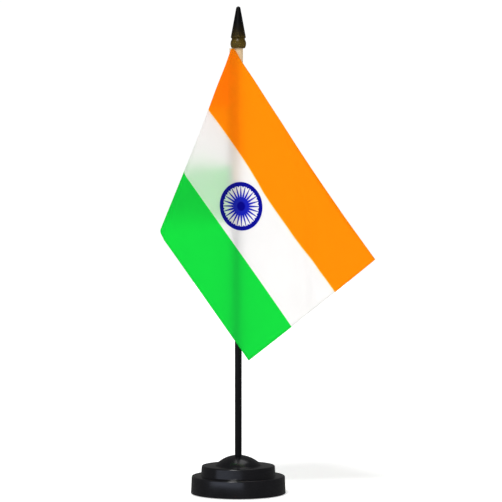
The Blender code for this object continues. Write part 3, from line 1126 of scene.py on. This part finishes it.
@dataclass
class Flag:
    """The printed cloth, the tape that holds it to the pole, and the stitches between them."""

    fold: Fold = field(default_factory=Fold)
    cloth_thickness: float = 0.2 * MM
    tape_thickness: float = 0.25 * MM
    flap: float = 2.6 * MM
    stitch_length: float = 2.2 * MM
    stitch_gap: float = 0.7 * MM
    stitch_width: float = 0.3 * MM
    seam_inset: float = 1.2 * MM
    front_row_below: float = 22.0 * MM  # above this the roll covers the seam
    tape_rise: float = 0.2 * MM
    tape_gap: float = 0.05 * MM  # between the tape's two flaps
    cloth_gap: float = 0.02 * MM  # between the tape and the cloth
    tape_corner: float = 1.1 * MM
    tape_slack: float = 0.07 * MM
    tape_wave: float = 4.3 * MM
    ripple: float = 0.35 * MM
    ripple_from: float = 12.0 * MM
    ripple_over: float = 35.0 * MM
    ripple_far: float = 120.0 * MM
    ripple_drift: float = 30.0 * MM
    rays: tuple[int, int, int] = (16, 30, 70)  # on the back panel, the roll and the front panel
    rows: int = 72
    frames: int = 20
    looseness: float = 0.97
    air_strength: float = 1.0
    air_size: float = 0.04
    air_place: tuple[float, float, float] = (0.03, -0.05, 0.2)
    bending: float = 0.2
    vertex_mass: float = 0.07
    weight: float = 0.05

    def build(self) -> None:
        """Make the flag's pieces and hang them on their body."""
        fold = self.fold
        cloth = self.cloth()
        satin = PrintedSatin(fly_mm=fold.fly / MM, hoist_mm=fold.hoist / MM)
        dress(cloth, satin.material())
        carry(cloth, "flag", "flag_satin", "flag_cloth")
        sleeve, tape_width = self.sleeve()
        low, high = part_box("hoist_sleeve")
        length = high.z - low.z
        dress(sleeve, WovenTape(tape_width / MM, length / MM).material())
        carry(sleeve, "flag", "sleeve_cloth", "hoist_sleeve")
        stitches = self.stitches()
        dress(stitches, TwistedThread().material())
        carry(stitches, "flag", "sleeve_cloth")

    def cloth(self) -> Object:
        """Mesh the printed cloth along the rays of its fold.

        Returns:
            The cloth, thickened.
        """
        fold = self.fold
        rays = fold.rays(*self.rays)

        def place(column: int, share: float) -> tuple[Vector, Point]:
            """Lay one point of the cloth.

            Args:
                column: The number of the ray that it lies on.
                share: How far along the ray it is, from 0 to 1.

            Returns:
                Its place and its UV.
            """
            ray = rays[column]
            near, far = fold.span(ray)
            reach = near + (far - near) * share
            out = reach * math.sin(ray) - fold.hoist_gap
            down = reach * math.cos(ray) - fold.headroom
            spot = fold.placed(ray, reach)
            moved = spot + self.ripples(ray, reach) + fold.settling(ray, out, down, spot)
            return moved, (out / fold.fly, 1 - down / fold.hoist)

        cloth = cloth_grid("flag_satin", len(rays), self.rows, place)
        self.billow(cloth)
        thicken(cloth, self.cloth_thickness)
        return cloth

    def billow(self, cloth: Object) -> None:
        """Let moving air work the cloth in a short simulation, then keep the shape it comes to.

        The cloth is held fast where it's sewn and where it crosses the pole, and more and more
        loosely away from them.

        Args:
            cloth: The cloth as an open sheet, laid in its fold.
        """
        fold = self.fold
        layer = cloth.data.uv_layers.active.data
        flat = {loop.vertex_index: layer[loop.index].uv for loop in cloth.data.loops}
        held = cloth.vertex_groups.new(name="held")
        for index, uv in flat.items():
            out, down = uv.x * fold.fly, (1 - uv.y) * fold.hoist
            held.add([index], 1 - self.looseness * fold.freedom(out, down), "REPLACE")
        bpy.ops.object.effector_add(type="TURBULENCE", location=self.air_place)
        air = bpy.context.object
        air.field.strength = self.air_strength
        air.field.size = self.air_size
        air.field.noise = 0.0
        air.field.seed = 7
        deselect_all()
        bpy.context.view_layer.objects.active = cloth
        sheet = cloth.modifiers.new("cloth", "CLOTH")
        settings = sheet.settings
        settings.quality = 8
        settings.mass = self.vertex_mass
        settings.tension_stiffness = settings.compression_stiffness = 60.0
        settings.shear_stiffness = 30.0
        settings.bending_stiffness = self.bending
        settings.air_damping = 2.0
        settings.vertex_group_mass = held.name
        settings.pin_stiffness = 1.0
        settings.effector_weights.gravity = self.weight
        sheet.point_cache.frame_start = 1
        sheet.point_cache.frame_end = self.frames
        scene = bpy.context.scene
        start = [vertex.co.copy() for vertex in cloth.data.vertices]
        for frame_number in range(1, self.frames + 1):
            scene.frame_set(frame_number)
        apply_modifiers(cloth)
        scene.frame_set(1)
        bpy.data.objects.remove(air)
        moves = [(now.co - then).length / MM for now, then in zip(cloth.data.vertices, start)]
        log.info("the cloth moved %.2f mm at most, %.2f mm on average", max(moves), sum(moves) / len(moves))

    def ripples(self, ray: float, reach: float) -> Vector:
        """The soft waves that run out from the pinched corner, on the free part of the front panel.

        Args:
            ray: The point's direction from the cone's point.
            reach: Its distance from the cone's point.

        Returns:
            How far the wave moves the point.
        """
        fold = self.fold
        if ray < fold.roll_end:
            return Vector((0, 0, 0))
        swing = ray - fold.roll_end - fold.roll_start
        along = fold.past_foot + reach * math.sin(swing)
        free = min(max((along - self.ripple_from) / self.ripple_over, 0.0), 1.0)
        heading = fold.heading + fold.bend * max(along, 0.0)
        normal = Vector((-math.sin(heading), -math.cos(heading), 0.0))
        broad = math.sin(swing * 9.0 + 0.6)
        fine = 0.4 * math.sin(swing * 17.0 + reach / self.ripple_drift)
        return normal * (self.ripple * free * free * (broad + fine) * reach / self.ripple_far)

    def across_sleeve(self) -> list[Point]:
        """The tape's section: along the flap, round the pole and back along the flap.

        Returns:
            Points as (away from the pole along the flap, towards the cloth).
        """
        half_layers = (self.cloth_thickness + self.tape_thickness) / 2
        outer = self.fold.sleeve_radius - half_layers - self.cloth_gap
        inner = outer - self.tape_thickness - self.tape_gap
        end = self.fold.hoist_reach + self.flap
        corner = self.tape_corner
        section = [(end - end * step / 6, outer) for step in range(6)]
        section += arc((0.0, 0.0), outer, 90, 360, 48)
        section += arc((outer + corner, inner - corner), corner, 180, 90, 8)
        start = section[-1][0]
        section += [(start + (end - start) * step / 5, inner) for step in range(1, 6)]
        return section

    def sleeve(self) -> tuple[Object, float]:
        """Fold the tape round the pole, with its two ends together behind the cloth.

        Returns:
            The tape, thickened, and the width that it was cut to.
        """
        low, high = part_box("hoist_sleeve")
        section = self.across_sleeve()
        lengths = [0.0]
        for before, after in zip(section, section[1:]):
            lengths.append(lengths[-1] + math.dist(before, after))
        width = lengths[-1]
        away = -self.fold.back_way
        side = self.fold.back_normal

        def place(column: int, share: float) -> tuple[Vector, Point]:
            """Lay one point of the tape.

            Args:
                column: The number of the section's point that it lies on.
                share: How far up the tape it is, from 0 to 1.

            Returns:
                Its place and its UV.
            """
            out, over = section[column]
            height = low.z + (high.z + self.tape_rise - low.z) * share
            slack = 0.0
            if out < 0:
                slack = self.tape_slack * math.sin(height / self.tape_wave + 2.0 * over / MM)
            spot = away * (out - slack) + side * over
            return Vector((spot.x, spot.y, height)), (lengths[column] / width, share)

        sleeve = cloth_grid("hoist_tape", len(section), 90, place)
        thicken(sleeve, self.tape_thickness)
        return sleeve, width

    def stitches(self) -> Object:
        """Sew a row through the flap and the cloth, seen from both sides, where the roll leaves it open.

        Returns:
            All the stitches as one piece.
        """
        fold = self.fold
        deselect_all()
        bpy.ops.mesh.primitive_uv_sphere_add(segments=8, ring_count=6, radius=0.5)
        first = bpy.context.object
        bpy.ops.object.mode_set(mode="EDIT")
        bpy.ops.transform.resize(value=(self.stitch_width, self.stitch_width, self.stitch_length))
        bpy.ops.object.mode_set(mode="OBJECT")
        bpy.ops.object.shade_smooth()
        cloth_face = fold.sleeve_radius + self.cloth_thickness / 2
        tape_layers = 2 * self.tape_thickness + self.tape_gap + self.cloth_gap
        tape_face = fold.sleeve_radius - self.cloth_thickness / 2 - tape_layers
        pitch = self.stitch_length + self.stitch_gap
        count = int((fold.hoist - pitch) / pitch)
        made = []
        row = fold.hoist_reach + self.seam_inset
        for over in (cloth_face, tape_face):
            for index in range(count):
                height = fold.top - pitch * (index + 1)
                if over == cloth_face and height > fold.top - self.front_row_below:
                    continue
                spot = -fold.back_way * row + fold.back_normal * over
                stitch = first.copy()
                stitch.data = first.data.copy()
                stitch.data.transform(Matrix.Translation((spot.x, spot.y, height)))
                bpy.context.collection.objects.link(stitch)
                made.append(stitch)
        bpy.data.objects.remove(first)
        deselect_all()
        for stitch in made:
            stitch.select_set(True)
        bpy.context.view_layer.objects.active = made[0]
        bpy.ops.object.join()
        joined = bpy.context.object
        joined.name = "sleeve_stitches"
        return joined


@dataclass
class Studio:
    """The pale sweep, the soft lights and the camera."""

    distance: float = 1.2
    eye_height: float = 0.1635
    look_down: float = math.radians(0.912)
    lens: float = 144.75
    sensor: float = 36.0
    sideways: float = 0.0253
    surround_radius: float = 4.0
    surround_height: float = 3.0
    floor_glow: float = 0.42
    screen_glow: float = 1.02
    room_glow: float = 0.1
    sun_strength: float = 1.75
    sun_spread: float = math.radians(14)
    sun_way: tuple[float, float, float] = (0.21, 0.58, -0.79)

    def build(self) -> None:
        """Set up all that isn't part of the object."""
        self.floor()
        self.surround()
        self.room()
        self.sun()
        self.soft_box("low_box", (-0.9, -1.56, 0.2), (3.2, 0.3), 5.0, "DDE6FF")
        self.soft_box("overhead", (0.15, 0.5, 1.5), (0.7, 0.7), 2.0, "FFFFFF")
        self.camera()

    def floor(self) -> None:
        """Lay a wide pale floor under the object."""
        deselect_all()
        bpy.ops.mesh.primitive_plane_add(size=2.4 * self.surround_radius, location=(0, 0, 0))
        floor = bpy.context.object
        floor.name = "floor"
        material, tree, shader = new_material("white_paper_sweep")
        paper = {"Base Color": linear("F7F7F7"), "Roughness": 0.9}
        glow = {"Emission Color": linear("FFFFFF"), "Emission Strength": self.floor_glow}
        fill(tree, shader, {**paper, **glow})
        dress(floor, material)
        floor.visible_glossy = False

    def surround(self) -> None:
        """Stand a lit white screen all round, kept out of the gloss so that black stays black."""
        deselect_all()
        bpy.ops.mesh.primitive_cylinder_add(
            vertices=96,
            radius=self.surround_radius,
            depth=self.surround_height,
            end_fill_type="NOTHING",
            location=(0, 0, self.surround_height / 2),
        )
        screen = bpy.context.object
        screen.name = "surround"
        screen.visible_glossy = False
        screen.visible_shadow = False
        material, tree, shader = new_material("lit_white_screen")
        glow = {"Emission Color": linear("FFFFFF"), "Emission Strength": self.screen_glow}
        fill(tree, shader, {"Base Color": linear("000000"), **glow})
        dress(screen, material)

    def room(self) -> None:
        """Leave the room behind the screen dim."""
        world = bpy.data.worlds.new("dim_room")
        world.use_nodes = True
        tree = world.node_tree
        dim = {"Color": linear("FFFFFF"), "Strength": self.room_glow}
        fill(tree, tree.nodes["Background"], dim)
        bpy.context.scene.world = world
        bpy.context.scene.view_settings.view_transform = "Standard"

    def sun(self) -> None:
        """Light floor and object evenly from high in front, a little to the left."""
        light = bpy.data.lights.new("key", "SUN")
        light.energy = self.sun_strength
        light.angle = self.sun_spread
        lamp = bpy.data.objects.new("key", light)
        lamp.rotation_euler = Vector(self.sun_way).to_track_quat("-Z", "Y").to_euler()
        bpy.context.scene.collection.objects.link(lamp)

    def soft_box(
        self, name: str, place: tuple[float, float, float], size: Point, watts: float, tint: str
    ) -> None:
        """Hang a soft box that faces the object.

        Args:
            name: The lamp's name.
            place: Where it hangs.
            size: Its width and height.
            watts: Its power.
            tint: Its colour.
        """
        light = bpy.data.lights.new(name, "AREA")
        light.shape = "RECTANGLE"
        light.size, light.size_y = size
        light.energy = watts
        light.color = linear(tint)[:3]
        lamp = bpy.data.objects.new(name, light)
        lamp.location = place
        way = Vector((0, 0, 0.12)) - Vector(place)
        lamp.rotation_euler = way.to_track_quat("-Z", "Y").to_euler()
        bpy.context.scene.collection.objects.link(lamp)

    def camera(self) -> None:
        """Place the camera in front, a little above the foot, level with the flag's middle."""
        data = bpy.data.cameras.new("camera")
        data.lens = self.lens
        data.sensor_width = self.sensor
        data.shift_x = self.sideways
        camera = bpy.data.objects.new("camera", data)
        camera.location = (0, -self.distance, self.eye_height)
        camera.rotation_euler = (math.pi / 2 - self.look_down, 0, 0)
        bpy.context.scene.collection.objects.link(camera)
        bpy.context.scene.camera = camera


def main() -> None:
    """Build the studio and every sub-assembly."""
    logging.basicConfig(level=logging.INFO, format="%(name)s: %(message)s")
    Studio().build()
    Foot().build()
    Staff().build()
    SpearCap().build()
    Flag().build()


if __name__ == "__main__":
    main()
